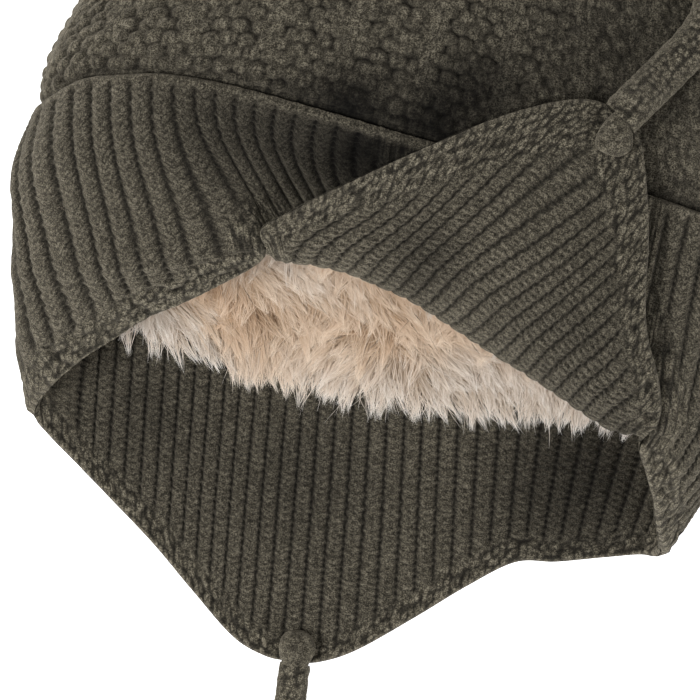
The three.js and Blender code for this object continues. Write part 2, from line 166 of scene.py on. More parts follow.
# The lining's hem: rib number, x, y, z of its wall's middle.
LINING_HEM = [
    (0, -103.8, -38, 27), (2, -101.5, -34, 35), (5, -82, -27, 46), (8, -62, -12, 48.5),
    (12, -38, -7, 43), (16, -12, -10, 40.5), (20, 10, -15, 40.5), (24, 31, -24, 41.5),
    (28, 51, -31, 41.5), (31, 67, -35, 43.5), (35, 87.5, -37, 46.5), (38, 99, -38, 41.5),
    (40, 102.5, -38, 33), (42, 103, -38, 24.5), (44, 101, -38, 17.5), (46, 94, -38, 12.5),
    (50, 71, -40, 10), (57, 34, -47, 9.8), (64, -5, -48, 9.8), (72, -46, -48, 9.8),
    (79, -81, -44, 10.8), (82, -95, -41, 16),
]
# Ribs of the far half, where the lines lie at even shares between the top edge and the hem.
FAR_RIBS = (46, 48, 51, 54, 57, 60, 63, 66, 69, 72, 75, 78, 80)


def smooth(rows, period=0):
    """A smooth curve through rows of (key, values); with a period it closes on itself."""
    rows = np.array(rows, float)
    first = rows[0, 0]
    if period:
        turn = np.zeros(rows.shape[1])
        turn[0] = period
        rows = np.vstack([rows[-2:] - turn, rows, rows[:2] + turn])
    keys, values = rows[:, 0], rows[:, 1:]
    last = len(keys) - 1
    low = np.clip(np.arange(last + 1) - 1, 0, last)
    high = np.clip(np.arange(last + 1) + 1, 0, last)
    slopes = (values[high] - values[low]) / (keys[high] - keys[low])[:, None]

    def at(key):
        key = np.atleast_1d(np.asarray(key, float))
        if period:
            key = (key - first) % period + first
        k = np.clip(np.searchsorted(keys, key, side="right") - 1, 0, last - 1)
        long = (keys[k + 1] - keys[k])[:, None]
        t = np.clip((key - keys[k])[:, None] / long, 0, 1)
        a, b = values[k], values[k + 1]
        m0, m1 = slopes[k] * long, slopes[k + 1] * long
        rise = b - a
        return a + t * (m0 + t * (3 * rise - 2 * m0 - m1 + t * (m0 + m1 - 2 * rise)))

    return at


top_edge = smooth(TOP_EDGE, RIBS)
hem = smooth(HEM, RIBS)
lining_hem = smooth(LINING_HEM, RIBS)
roll = smooth(ROLL)


# Where the lines lie between the top edge (0) and the hem (1).
BELOW_TOP_AT = 0.25
FOLD_AT = 0.5
ABOVE_FOLD_AT = 0.8
# Two more lines stand close to the fold: where, and how much of the roll's radius they sink or rise.
BEFORE_FOLD_AT = 0.4
AFTER_FOLD_AT = 0.6
BEFORE_FOLD_SHARE = 0.7
AFTER_FOLD_SHARE = 0.35
SINK_BEFORE = 0.9
RISE_AFTER = 0.55
LINES_AT = (0, BELOW_TOP_AT, BEFORE_FOLD_AT, FOLD_AT, AFTER_FOLD_AT, ABOVE_FOLD_AT, 1)


def line_with_far_side(near_rows, share):
    """A line around the whole cuff, from its near rows and a share of the way on the far half."""
    edge, rim = top_edge(FAR_RIBS), hem(FAR_RIBS)
    far = np.column_stack([FAR_RIBS, edge + (rim - edge) * share])
    return smooth([*near_rows, *map(tuple, far)], RIBS)


below_top = line_with_far_side(BELOW_TOP, BELOW_TOP_AT)
fold = line_with_far_side(FOLD, FOLD_AT)
above_fold = line_with_far_side(ABOVE_FOLD, ABOVE_FOLD_AT)


def cuff_middle(ribs, shares):
    """Places in the middle of the cuff's wall, as a grid of shares by ribs."""
    ribs = np.asarray(ribs, float)
    radius = np.maximum(roll(ribs % RIBS)[:, 0], 0)
    folded, below, above = fold(ribs), below_top(ribs), above_fold(ribs)
    before = below + (folded - below) * BEFORE_FOLD_SHARE
    after = folded + (above - folded) * AFTER_FOLD_SHARE
    before[:, 2] -= radius * SINK_BEFORE
    after[:, 2] += radius * RISE_AFTER
    lines = np.stack([top_edge(ribs), below, before, folded, after, above, hem(ribs)])
    rows = np.column_stack([LINES_AT, lines.reshape(len(lines), -1)])
    return smooth(rows)(shares).reshape(len(shares), len(ribs), 3)


def unit(v):
    return v / np.maximum(np.linalg.norm(v, axis=-1, keepdims=True), 1e-9)


def cuff_outward(ribs, shares):
    """Directions straight out of the cuff's wall, as a grid of shares by ribs."""
    step_along, step_around = 0.01, 0.15
    shares = np.asarray(shares, float)
    ribs = np.asarray(ribs, float)
    along = (cuff_middle(ribs, np.minimum(shares + step_along, 1))
             - cuff_middle(ribs, np.maximum(shares - step_along, 0)))
    around = cuff_middle(ribs + step_around, shares) - cuff_middle(ribs - step_around, shares)
    return unit(np.cross(along, around))


def new_object(name, points, faces, slot, *nodes):
    """A smooth mesh object that rides on the hat, from places in millimetres."""
    mesh = bpy.data.meshes.new(name)
    points = np.asarray(points, float).reshape(-1, 3) * MM
    faces = np.asarray(faces, int)
    mesh.vertices.add(len(points))
    mesh.vertices.foreach_set("co", points.ravel())
    mesh.loops.add(faces.size)
    mesh.loops.foreach_set("vertex_index", faces.ravel())
    mesh.polygons.add(len(faces))
    mesh.polygons.foreach_set("loop_start", np.arange(0, faces.size, faces.shape[1]))
    mesh.polygons.foreach_set("loop_total", np.full(len(faces), faces.shape[1]))
    mesh.polygons.foreach_set("use_smooth", np.ones(len(faces), bool))
    mesh.update(calc_edges=True)
    mesh.validate()
    obj = bpy.data.objects.new(name, mesh)
    scene.collection.objects.link(obj)
    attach(obj, "root")
    if nodes:
        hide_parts(*nodes)
    return obj


def grid_faces(rows, columns, closed=False, flip=False):
    """Square faces of a grid of points; a closed one joins its last column to its first."""
    r = np.arange(rows - 1)[:, None]
    c = np.arange(columns if closed else columns - 1)[None, :]
    right = (c + 1) % columns
    quads = np.stack([r * columns + c, (r + 1) * columns + c,
                      (r + 1) * columns + right, r * columns + right], axis=-1).reshape(-1, 4)
    return quads[:, ::-1] if flip else quads


def add_floats(obj, name, values):
    """A named number for each point, which the material reads."""
    layer = obj.data.attributes.new(name, "FLOAT", "POINT")
    layer.data.foreach_set("value", np.asarray(values, np.float32).ravel())


def add_uv(obj, name, across, along):
    """Named texture places on a knitted face: across it and along it."""
    mesh = obj.data
    corners = np.empty(len(mesh.loops), int)
    mesh.loops.foreach_get("vertex_index", corners)
    uv = np.column_stack([np.ravel(across)[corners], np.ravel(along)[corners]])
    mesh.uv_layers.new(name=name).data.foreach_set("uv", uv.astype(np.float32).ravel())


def ripple(a, b, seed, scale=1.0):
    """Soft irregular waves between about -1 and 1 over two coordinates."""
    rng = np.random.default_rng(seed)
    total = 0
    for _ in range(5):
        turn = rng.uniform(0, 2 * math.pi)
        size = rng.uniform(0.6, 1.7) / scale
        total = total + np.sin((a * math.cos(turn) + b * math.sin(turn)) * size
                               + rng.uniform(0, 2 * math.pi))
    return total / 3


# How far the two legs of a stitch lean together, in courses, and how high the stitches stand, in mm.
LEG_SLANT = {"outside": 1.5, "inside": 0.5}
STITCH_HEIGHT = {"outside": 0.25, "inside": 0.6}

def rib_height(rib, course, ridge_at, stitch_height):
    """Height of a rounded rib between narrow scalloped valleys, in mm, and its lift, by which the material
    paints shade into the valleys.
    """
    bend = 0.045 * ripple(rib * 0.9, course, 3, 2.5) + 0.05 * np.sin(math.pi * course)
    place = rib - ridge_at + bend
    # Off the ridge's middle: 0 on the ridge and 1 in the valley. The loop is 1 in a stitch's middle.
    off = np.abs(2 * (place - np.round(place)))
    loop = np.abs(np.cos(math.pi * (course - 0.4 * off + 0.08 * ripple(rib * 3, course * 1.5, 11))))
    ridge = np.clip(1 - (off * (1.1 - 0.12 * loop)) ** 3.2, 0, 1) ** 0.8
    height = RIB_HEIGHT * (ridge - 0.75) + stitch_height * (loop ** 0.7 - 0.5) * ridge
    return height, ridge


def scatter(column, row, turns, size, seed):
    """A number between 0 and 1 for each knot, scattered but the same each time."""
    wild = np.sin(column * turns[0] + row * turns[1] + seed) * size
    return wild - np.floor(wild)


# Rows of knots lie closer together than the knots within a row.
ROW_SHARE = 0.88


def knots(a, b, pitch, seed, jitter=0.3, flat=2.3, reach=0.68):
    """Round knots in loose staggered rows: 1 in the middle of each and 0 in the pits between."""
    column, row = a / pitch, b / (pitch * ROW_SHARE)
    nearest = np.full(np.shape(column + row), 9.0)
    for row_step in (-1, 0, 1):
        r = np.floor(row) + row_step
        shift = 0.5 * (r % 2)
        for column_step in (-1, 0, 1):
            c = np.floor(column - shift) + column_step
            x = c + 0.5 + shift + jitter * 2 * (scatter(c, r, (127.1, 311.7), 43758.5, seed) - 0.5)
            y = r + 0.5 + jitter * 2 * (scatter(c, r, (269.5, 183.3), 28001.8, seed) - 0.5)
            nearest = np.minimum(nearest, np.hypot(column - x, (row - y) * ROW_SHARE))
    return np.clip(1 - (nearest / reach) ** flat, 0, 1)


# The knots of the border: how far apart, and how high, in mm.
KNOT_STEP = 3.9
KNOT_HEIGHT = 1.3


def border_relief(q, d, seed):
    """Height of the knotty border, in mm, and its lift, by which the material paints shade into the pits: q
    runs along the hem and d away from it.
    """
    q = q + 0.8 * ripple(q, d, seed, 4)
    d = d + 0.7 * ripple(d, q, seed + 1, 4)
    knot = knots(q, d, KNOT_STEP, seed)
    return KNOT_HEIGHT * (knot - 0.6), 0.25 + 0.75 * knot


def arc_lengths(points):
    """How far along its column each point of a grid lies, in mm."""
    steps = np.linalg.norm(np.diff(points, axis=0), axis=-1)
    return np.vstack([np.zeros((1, points.shape[1])), np.cumsum(steps, axis=0)])


# How wide the knotty border is on the turned flap's inner face: rib number, mm.
INNER_BORDER = smooth([
    (0, 6), (10, 8), (14, 11), (18, 15), (21, 17), (24, 13), (30, 9), (84, 9),
])
# How many ribs the inner face's lines lean to the right on their way from the fold to the hem.
RIB_LEAN = smooth([
    (0, 0), (8, 0), (11, 2), (14, 3.6), (17, 4), (20, 3.6), (23, 2.8), (25.5, 1), (28, 0.2), (31, 0), (84, 0),
])
# Painted shade in creases and deep places, where the wool's colour is darkened: face, x, y, radius in mm,
# share lost.
PAINTED_SHADE_PLACES = [
    ("outside", -19, 21, 18, 0.9),
    ("outside", -42, 21, 18, 0.6),
    ("outside", -66, 18, 18, 0.4),
    ("outside", -2, 31, 14, 0.9),
    ("inside", 75, -64, 22, 0.55),
    ("inside", -16, -83, 24, 0.3),
    ("inside", 58, -71, 22, 0.35),
    ("inside", -67, -72, 20, 0.35),
    ("inside", 8, -9, 13, 0.45),
    ("inside", 54, -24, 22, 0.25),
    ("crown", -25, 34, 13, 0.85),
    ("crown", 14, 46, 15, 0.7),
    ("crown", 48, 67, 26, 0.4),
    ("crown", 1, 36, 13, 0.8),
]



def light_lost(face, places):
    """The share of painted shade at places on a face of the knitting, by which the colour is darkened, from 0
    to 1.
    """
    left = np.ones(places.shape[:-1])
    for name, x, y, radius, lost in PAINTED_SHADE_PLACES:
        if name == face:
            away = np.hypot(places[..., 0] - x, places[..., 1] - y) / radius
            left *= 1 - lost * np.exp(-away ** 2)
    return 1 - left

def border_width(ribs, side):
    """Width of the knotty border along the hem, in mm."""
    if side < 0:
        return INNER_BORDER(ribs)[:, 0]
    return np.full(len(ribs), float(BORDER))


def from_top_and_hem(ribs, shares):
    """How far along its rib each place lies from the top edge, and from the hem, in mm."""
    fine = np.linspace(0, 1, 101)
    lengths = arc_lengths(cuff_middle(ribs, fine))
    arc = np.stack([np.interp(shares, fine, lengths[:, k]) for k in range(len(ribs))], axis=1)
    return arc, lengths[-1][None, :] - arc


def along_hem(ribs, shape):
    """How far along the hem each rib ends, in mm, counted from a far start."""
    start = 500
    steps = np.linalg.norm(np.diff(hem(ribs), axis=0), axis=-1)
    return np.broadcast_to(np.concatenate([[0], np.cumsum(steps)])[None, :], shape) + start


def from_hem(middle, rib_range):
    """The shortest way from each place to the hem, in mm."""
    past = 4
    hem_line = hem(np.linspace(rib_range[0] - past, rib_range[1] + past, 240))
    return np.min(np.linalg.norm(middle[:, :, None, :] - hem_line[None, None], axis=-1), axis=2)


# How much flatter the ribs are on the fold, and how wide the flat part is as a share of the way.
FOLD_FLATTER = 0.6
FOLD_WIDTH = 0.035


def cuff_face(name, side, rib_range, columns, shares, *nodes):
    """One face of the cuff's wall with its ribs, stitches and knotty border."""
    face = "outside" if side > 0 else "inside"
    ribs = np.linspace(*rib_range, columns)
    middle = cuff_middle(ribs, shares)
    outward = cuff_outward(ribs, shares)
    arc, to_hem = from_top_and_hem(ribs, shares)
    q = along_hem(ribs, arc.shape)
    distance = from_hem(middle, rib_range)
    rib = np.broadcast_to(ribs[None, :], arc.shape)
    ridge_at = 0 if side > 0 else 0.5
    if side < 0:
        turned = np.clip((shares - FOLD_AT) / (1 - FOLD_AT), 0, 1)[:, None]
        rib = rib - RIB_LEAN(ribs)[:, 0][None, :] * turned
    relief, lift = rib_height(rib, arc / COURSE, ridge_at, STITCH_HEIGHT[face])
    near_fold = np.exp(-(((shares - FOLD_AT) / FOLD_WIDTH) ** 2))[:, None]
    relief = relief * (1 - FOLD_FLATTER * near_fold * (roll(ribs)[:, 0] > 1)[None, :])
    knot_height, knot_lift = border_relief(q, distance, 21)
    edge_wave = 1.2 * ripple(rib * 2, arc, 5)
    blend = np.clip((border_width(ribs, side)[None, :] + edge_wave - distance) / 3, 0, 1)
    height = relief * (1 - blend) + knot_height * blend
    lift = lift * (1 - blend) + knot_lift * blend
    # The knitting ends in a smooth rolled band along the hem.
    band = np.clip(1.6 - distance / HEM_BAND, 0, 1) * (0.75 if side < 0 else 0.4)
    height = height * (1 - band) + 0.25 * band
    lift = lift * (1 - band) + band
    # The outer face begins in a soft welt, painted lighter than its neighbours: most of its painted shade is
    # taken off, as a painted highlight.
    welt = np.clip(1.5 - arc / TOP_WELT, 0, 1) * (side > 0)
    height = height * (1 - 0.8 * welt) + 0.25 * welt
    lift = lift * (1 - welt) + welt
    lost = light_lost(face, middle) * (1 - 0.65 * welt)
    # Both edges of the wall are round.
    edge = np.clip(to_hem / (WALL / 2), 0, 1)
    rim = np.clip(arc / (WALL / 2), 0, 1)
    rounding = np.sqrt(1 - (1 - edge) ** 2) * np.sqrt(1 - (1 - rim) ** 2)
    places = middle + outward * (side * (WALL / 2 * rounding + height))[..., None]
    places[..., 2] = np.maximum(places[..., 2], 0)
    obj = new_object(name, places, grid_faces(len(shares), columns, flip=side < 0),
                     "knit_yarn", *nodes)
    add_uv(obj, "knit", rib - ridge_at, arc)
    add_uv(obj, "pebble", q, distance)
    # Painted shade: "lift" darkens the valleys and pits, "lost" the creases and deep places.
    add_floats(obj, "lift", lift)
    add_floats(obj, "lost", lost)
    add_floats(obj, "slant", np.full(lift.shape, LEG_SLANT[face]))
    add_floats(obj, "ribbed", (1 - blend) * (1 - welt))
    add_floats(obj, "plain", 0.6 * welt)
    obj.data.materials.append(yarn)


def nodes_of(material):
    """The node tree of a material, and its main shader."""
    material.use_nodes = True
    tree = material.node_tree
    return tree, tree.nodes["Principled BSDF"]


def add_node(tree, kind, inputs=None, **settings):
    """A node with its settings; an input is linked if it is a socket and set if it is a value."""
    node = tree.nodes.new(kind)
    for key, value in settings.items():
        setattr(node, key, value)
    for key, value in (inputs or {}).items():
        if isinstance(value, bpy.types.NodeSocket):
            tree.links.new(value, node.inputs[key])
        else:
            node.inputs[key].default_value = value
    return node


def ramp(tree, value, stops):
    """Colours over a value from 0 to 1, from stops of (place, colour)."""
    node = add_node(tree, "ShaderNodeValToRGB", {"Fac": value})
    while len(node.color_ramp.elements) < len(stops):
        node.color_ramp.elements.new(0.5)
    for element, (position, colour) in zip(node.color_ramp.elements, stops):
        element.position = position
        element.color = (*colour, 1)
    return node.outputs["Color"]


def math_node(tree, operation, a, b=0.0, clamp=False):
    return add_node(tree, "ShaderNodeMath", {0: a, 1: b}, operation=operation,
                    use_clamp=clamp).outputs[0]


def remap(tree, value, low, high, to_low, to_high):
    """A straight line from low..high to to_low..to_high, held at its ends."""
    return add_node(tree, "ShaderNodeMapRange",
                    {"Value": value, "From Min": low, "From Max": high,
                     "To Min": to_low, "To Max": to_high}).outputs["Result"]


def noise(tree, place, size, detail, rough=0.6):
    return add_node(tree, "ShaderNodeTexNoise",
                    {"Vector": place, "Scale": size, "Detail": detail,
                     "Roughness": rough}).outputs["Fac"]


def mix(tree, factor, a, b):
    return add_node(tree, "ShaderNodeMix", {"Factor": factor, "A": a, "B": b},
                    data_type="FLOAT").outputs["Result"]


def attribute(tree, name):
    return add_node(tree, "ShaderNodeAttribute", attribute_name=name).outputs["Fac"]


# How far apart the small stitches of the borders, the crown and the ties are, in mm.
PEBBLE = 2.2
# The wool's colours, from between the fibres to their tops, and its sheen.
YARN_COLOURS = [
    (0.42, (0.008, 0.007, 0.0045)), (0.5, (0.05, 0.0435, 0.031)), (0.58, (0.148, 0.132, 0.099)),
]
YARN_SHEEN = 0.2
YARN_SHEEN_TINT = (0.9, 0.8, 0.62, 1)
# Sizes of the fibres, flecks and patches, as noise scales.
FIBRE_SCALE = 2100
FLECK_SCALE = 600
PATCH_SCALE = 90
# How far flecks and patches push the stitches about, in ribs and in courses.
DRIFT_ACROSS = 0.3
DRIFT_ALONG = 1.6
# How much narrower a rib is between its stitches, and how much the flecks fray its valleys.
PINCH = 0.34
FRAY = 1.6
# How dark the painted shade is in the valleys and in the gaps between the legs, and how much a painted
# highlight lightens the left leg.
VALLEY_DARK = 0.62
GAP_DARK = 0.75
LEFT_LEG_HIGHLIGHT = 0.2


def rib_shade(tree, fleck, patch):
    """Painted shade of the ribs: two slanting legs of stitches on each, painted dark in the valleys, in the
    gaps between the legs and between the stitches, with a painted highlight on the left leg.
    """
    knit = add_node(tree, "ShaderNodeSeparateXYZ",
                    {"Vector": add_node(tree, "ShaderNodeUVMap", uv_map="knit").outputs["UV"]})
    drift = math_node(tree, "MULTIPLY", math_node(tree, "SUBTRACT", fleck, 0.5), DRIFT_ACROSS)
    rib = math_node(tree, "ADD", knit.outputs["X"], drift)
    pushed = math_node(tree, "MULTIPLY", math_node(tree, "SUBTRACT", patch, 0.5), DRIFT_ALONG)
    along = math_node(tree, "ADD", math_node(tree, "DIVIDE", knit.outputs["Y"], COURSE), pushed)
    signed = math_node(tree, "SUBTRACT", rib, math_node(tree, "ROUND", rib))
    away = math_node(tree, "MULTIPLY", math_node(tree, "ABSOLUTE", signed), 2.0)
    # The two legs of each stitch slant towards each other down the rib.
    slant = math_node(tree, "MULTIPLY", away, attribute(tree, "slant"))
    course = math_node(tree, "ADD", along, slant)
    wave = math_node(tree, "COSINE", math_node(tree, "MULTIPLY", course, math.pi))
    loop = math_node(tree, "POWER", math_node(tree, "ABSOLUTE", wave), 0.55)
    between = math_node(tree, "SUBTRACT", 1.0, loop)
    strands = add_node(tree, "ShaderNodeCombineXYZ",
                       {"X": math_node(tree, "MULTIPLY", rib, 3.2),
                        "Y": math_node(tree, "MULTIPLY", course, 6.0)})
    strand = noise(tree, strands.outputs["Vector"], 1.3, 2, 0.6)
    pinch = math_node(tree, "ADD", math_node(tree, "MULTIPLY", between, PINCH),
                      math_node(tree, "MULTIPLY", drift, FRAY))
    valley = remap(tree, math_node(tree, "ADD", away, pinch), 0.74, 1.0, 0.0, 1.0)
    gap = math_node(tree, "MULTIPLY", remap(tree, away, 0.0, 0.2, 1.0, 0.0), between)
    # Painted highlight: the left leg of each rib is lighter, as if lit from the left.
    left_leg = remap(tree, signed, -0.45, -0.15, 1.0, 0.0)
    shade = math_node(tree, "SUBTRACT", 1.02, math_node(tree, "MULTIPLY", valley, VALLEY_DARK))
    shade = math_node(tree, "SUBTRACT", shade, math_node(tree, "MULTIPLY", gap, GAP_DARK))
    shade = math_node(tree, "MULTIPLY", shade, remap(tree, loop, 0.0, 1.0, 0.5, 1.12))
    shade = math_node(tree, "MULTIPLY", shade, remap(tree, strand, 0.32, 0.68, 0.6, 1.35))
    return math_node(tree, "ADD", shade, math_node(tree, "MULTIPLY", left_leg, LEFT_LEG_HIGHLIGHT))


def knotty_shade(tree):
    """Painted shade of small round stitches, dark in the pits between them, more even where the attribute
    "plain" is higher.
    """
    cells = add_node(tree, "ShaderNodeTexVoronoi",
                     {"Vector": add_node(tree, "ShaderNodeUVMap", uv_map="pebble").outputs["UV"],
                      "Scale": 1 / PEBBLE, "Randomness": 0.8},
                     voronoi_dimensions="2D").outputs["Distance"]
    return mix(tree, attribute(tree, "plain"), remap(tree, cells, 0.25, 0.62, 1.5, 0.25), 1.0)


def make_yarn():
    """Woolly yarn: ribs or small stitches, with painted shade where it lies low and in creases, with flecks
    and a fibre bump.
    """
    material = bpy.data.materials.new("yarn")
    tree, shader = nodes_of(material)
    place = add_node(tree, "ShaderNodeTexCoord").outputs["Object"]
    fibre = noise(tree, place, FIBRE_SCALE, 4, 0.75)
    fleck = noise(tree, place, FLECK_SCALE, 3)
    patch = noise(tree, place, PATCH_SCALE, 2)
    shade = mix(tree, attribute(tree, "ribbed"), knotty_shade(tree), rib_shade(tree, fleck, patch))
    # Painted shade: the colour darkens where the attribute "lift" is low, in the valleys and pits.
    painted_valley_shade = math_node(tree, "POWER", remap(tree, attribute(tree, "lift"), 0.0, 0.9, 0.15, 1.0), 1.2)
    shade = math_node(tree, "MULTIPLY", shade, painted_valley_shade)
    # Painted shade in creases and deep places: the attribute "lost" darkens the colour and weakens the sheen.
    light = math_node(tree, "SUBTRACT", 1.0, attribute(tree, "lost"))
    mixed = math_node(tree, "ADD", math_node(tree, "MULTIPLY", fibre, 0.75),
                      math_node(tree, "MULTIPLY", fleck, 0.25))
    tint = add_node(tree, "ShaderNodeVectorMath",
                    {0: ramp(tree, mixed, YARN_COLOURS),
                     "Scale": math_node(tree, "MULTIPLY", shade, light)}, operation="SCALE")
    tree.links.new(tint.outputs[0], shader.inputs["Base Color"])
    shader.inputs["Roughness"].default_value = 0.95
    shader.inputs["Specular IOR Level"].default_value = 0.12
    tree.links.new(math_node(tree, "MULTIPLY", light, YARN_SHEEN), shader.inputs["Sheen Weight"])
    shader.inputs["Sheen Tint"].default_value = YARN_SHEEN_TINT
    shader.inputs["Sheen Roughness"].default_value = 0.5
    height = math_node(tree, "ADD", math_node(tree, "MULTIPLY", mixed, 0.9),
                       math_node(tree, "MULTIPLY", shade, 0.45))
    bump = add_node(tree, "ShaderNodeBump", {"Strength": 0.9, "Distance": 0.0007, "Height": height})
    tree.links.new(bump.outputs["Normal"], shader.inputs["Normal"])
    return material


yarn = make_yarn()

# The fur's colours from the root to the tip of a hair, and what its tone makes of them.
FUR_ALONG = [
    (0.0, (0.36, 0.27, 0.19)), (0.4, (0.53, 0.44, 0.355)),
    (0.75, (0.66, 0.59, 0.52)), (1.0, (0.85, 0.83, 0.79)),
]
FUR_TONES = [(0.0, (0.8, 0.62, 0.46)), (0.5, (0.97, 0.87, 0.76)), (1.0, (1, 1, 1))]
# Painted light: the fur glows faintly in its own colour, filling the gaps between hairs; and the share of
# light that passes through one hair.
FUR_PAINTED_GLOW = 0.15
FUR_THROUGH = 0.35


def make_fur_material():
    """Faux fur: pale tips, beige body and tan roots, from the place along each hair, with a faint painted
    glow.
    """
    material = bpy.data.materials.new("fur")
    tree, shader = nodes_of(material)
    tint = add_node(tree, "ShaderNodeMix", {"Factor": 1.0}, data_type="RGBA", blend_type="MULTIPLY")
    tree.links.new(ramp(tree, attribute(tree, "tip"), FUR_ALONG), tint.inputs[6])
    tree.links.new(ramp(tree, attribute(tree, "tone"), FUR_TONES), tint.inputs[7])
    colour = tint.outputs[2]
    tree.links.new(colour, shader.inputs["Base Color"])
    shader.inputs["Roughness"].default_value = 0.7
    shader.inputs["Specular IOR Level"].default_value = 0.15
    # Painted light: the fur glows in its own colour.
    tree.links.new(colour, shader.inputs["Emission Color"])
    shader.inputs["Emission Strength"].default_value = FUR_PAINTED_GLOW
    through = add_node(tree, "ShaderNodeBsdfTranslucent", {"Color": colour})
    both = add_node(tree, "ShaderNodeMixShader",
                    {0: FUR_THROUGH, 1: shader.outputs["BSDF"], 2: through.outputs["BSDF"]})
    tree.links.new(both.outputs[0], tree.nodes["Material Output"].inputs["Surface"])
    return material


fur = make_fur_material()

# The ties' mesh: length of a row of faces, in mm, and faces around.
TIE_ROW = 0.5
TIE_COLUMNS = 56
# Their knots: how far apart and how high, in mm.
TIE_KNOT = 3.4
TIE_KNOT_HEIGHT = 0.5
# The rounded edge along a tie: where around the tie, how wide, both in radians, and how high in mm.
EDGE_AT = 0.35
EDGE_WIDE = 0.2
EDGE_HEIGHT = 0.2


def make_tie(name, path, width, *nodes):
    """A knitted cord: an oval tube with small knots, a smooth edge along it and a rounded bare end."""
    way = np.array(path) / MM
    keys = np.concatenate([[0], np.cumsum(np.linalg.norm(np.diff(way, axis=0), axis=1))])
    length = keys[-1]
    rows = int(length / TIE_ROW)
    along = np.linspace(0, length, rows)
    centre = smooth(np.column_stack([keys, way]))(along)
    forward = unit(np.gradient(centre, axis=0))
    side = unit(np.cross(forward, np.array([0, 0, 1.0])))
    up = unit(np.cross(side, forward))
    turn = np.linspace(-math.pi / 2, math.pi * 3 / 2, TIE_COLUMNS, endpoint=False)
    end = np.clip((length - along) / (width / 2), 0, 1)
    start = np.clip(along / (width / 2) + 0.7, 0, 1)
    size = (np.sqrt(1 - (1 - end) ** 2) * np.sqrt(1 - (1 - start) ** 2))[:, None]
    edge = np.exp(-(((turn - EDGE_AT) / EDGE_WIDE) ** 2))[None, :]
    across = turn * width / 2 + 50
    knot = knots(across[None, :], along[:, None] + 50, TIE_KNOT, 61)
    relief = TIE_KNOT_HEIGHT * (knot - 0.7) * (1 - edge) + EDGE_HEIGHT * edge
    wide = (width / 2 - TIE_RELIEF_INSET + relief) * size
    thick = (TIE_THICK / 2 - TIE_RELIEF_INSET + relief) * size
    places = (centre[:, None] + side[:, None] * (np.cos(turn) * wide)[..., None]
              + up[:, None] * (np.sin(turn) * thick)[..., None])
    places[..., 2] = np.maximum(places[..., 2], 0)
    obj = new_object(name, places, grid_faces(rows, TIE_COLUMNS, closed=True), "knit_yarn", *nodes)
    add_uv(obj, "pebble", np.broadcast_to(across, knot.shape),
           np.broadcast_to(along[:, None], knot.shape))
    # Painted shade in the pits between the knots, none on the smooth edge.
    add_floats(obj, "lift", (0.8 + 0.2 * knot) * (1 - edge) + edge)
    sides = np.clip((np.abs(np.cos(turn)) - 0.6) / 0.25, 0, 1)[None, :]
    add_floats(obj, "plain", np.broadcast_to(0.75 * np.maximum(sides, edge), knot.shape))
    obj.data.materials.append(yarn)


make_tie("tie_near_knit", NEAR_TIE_PATH, NEAR_TIE_WIDTH, "tie_near")
make_tie("tie_far_knit", FAR_TIE_PATH, FAR_TIE_WIDTH, "tie_far")

# The cuff in four faces. The seen ones are fine, the one on the floor is coarse.
FINE_COLUMNS = 42 * 8 + 1
COARSE_COLUMNS = 42 * 4 + 1
cuff_face("cuff_near_outside", 1, NEAR_HALF, FINE_COLUMNS, np.linspace(0, 1, 220), "cuff")
cuff_face("cuff_near_inside", -1, NEAR_HALF, FINE_COLUMNS, np.linspace(0.4, 1, 160), "cuff")
cuff_face("cuff_far_inside", -1, FAR_HALF, FINE_COLUMNS, np.linspace(0.3, 1, 170), "cuff")
cuff_face("cuff_far_outside", 1, FAR_HALF, COARSE_COLUMNS, np.linspace(0, 1, 50), "cuff")

# Where the dome begins to lie flat on the floor, in degrees up from the rim, and over how many.
FLATTEN_FROM = 3
FLATTEN_OVER = 9
# How the dome's upper and lower sides curve: a lower power keeps them high for longer.
UPPER_POWER = 0.85
LOWER_POWER = 0.5


def dome_middle(ribs, degrees, inset):
    """Places in the middle of the dome's wall, as a grid of degrees by ribs."""
    edge = top_edge(ribs)
    outward = cuff_outward(ribs, [0])[0]
    start = edge[None] - outward[None] * inset[:, None, None]
    turn = np.radians(degrees)[:, None]
    level = np.cos(turn)
    top_y = CROWN_TOP[1] - inset[:, None]
    smooth_in = np.clip((degrees - FLATTEN_FROM) / FLATTEN_OVER, 0, 1)
    smooth_in = (smooth_in ** 2 * (3 - 2 * smooth_in))[:, None]
    flat = np.clip((FLAT_BELOW - edge[:, 2]) / FLAT_BELOW, 0, 1)[None] * smooth_in
    base = start[..., 2] * (1 - flat) + (CROWN_WALL / 2 + inset[:, None]) * flat
    power = np.where(base > CROWN_TOP[2], UPPER_POWER, LOWER_POWER)
    return np.stack([
        CROWN_TOP[0] + (start[..., 0] - CROWN_TOP[0]) * level,
        start[..., 1] + (top_y - start[..., 1]) * np.sin(turn),
        CROWN_TOP[2] + (base - CROWN_TOP[2]) * level ** power,
    ], axis=-1)


def grid_normals(points, closed=True):
    """Directions square to a grid of points, closed or open."""
    around = np.gradient(points, axis=1)
    if closed:
        around = np.roll(points, -1, axis=1) - np.roll(points, 1, axis=1)
    return unit(np.cross(np.gradient(points, axis=0), around))


# Degrees up the dome, and how far its middle lies inside the middle of the cuff's wall, in mm.
CROWN_BULGE = [(0.8, 2.7), (1.6, 1.5), (3, 0.3), (6.5, -0.4), (11, 0.8), (17, 2), (90, 2)]
CROWN_MIDDLE = (0, 60, 30)
# How far the crown reaches into the cuff, and how far under the cuff's ribs it is sewn on, in mm.
CROWN_TUCK = 5
SEAM_BELOW = 0.4
# How far apart the ribs are at the crown's rim, and its bobbles, in mm.
CROWN_RIB_STEP = 5.6
BOBBLE = 4.7
# Where the first bar stands and how far apart the bars are, in ribs.
BAR_FIRST = 5
BAR_STEP = 3.75
# How high the bobbles and bars are, and how much lower the bobbles on the stretched side, in mm.
BOBBLE_HEIGHT = 2.1
BOBBLE_LOWER = 1.1
BAR_HEIGHT = 0.2


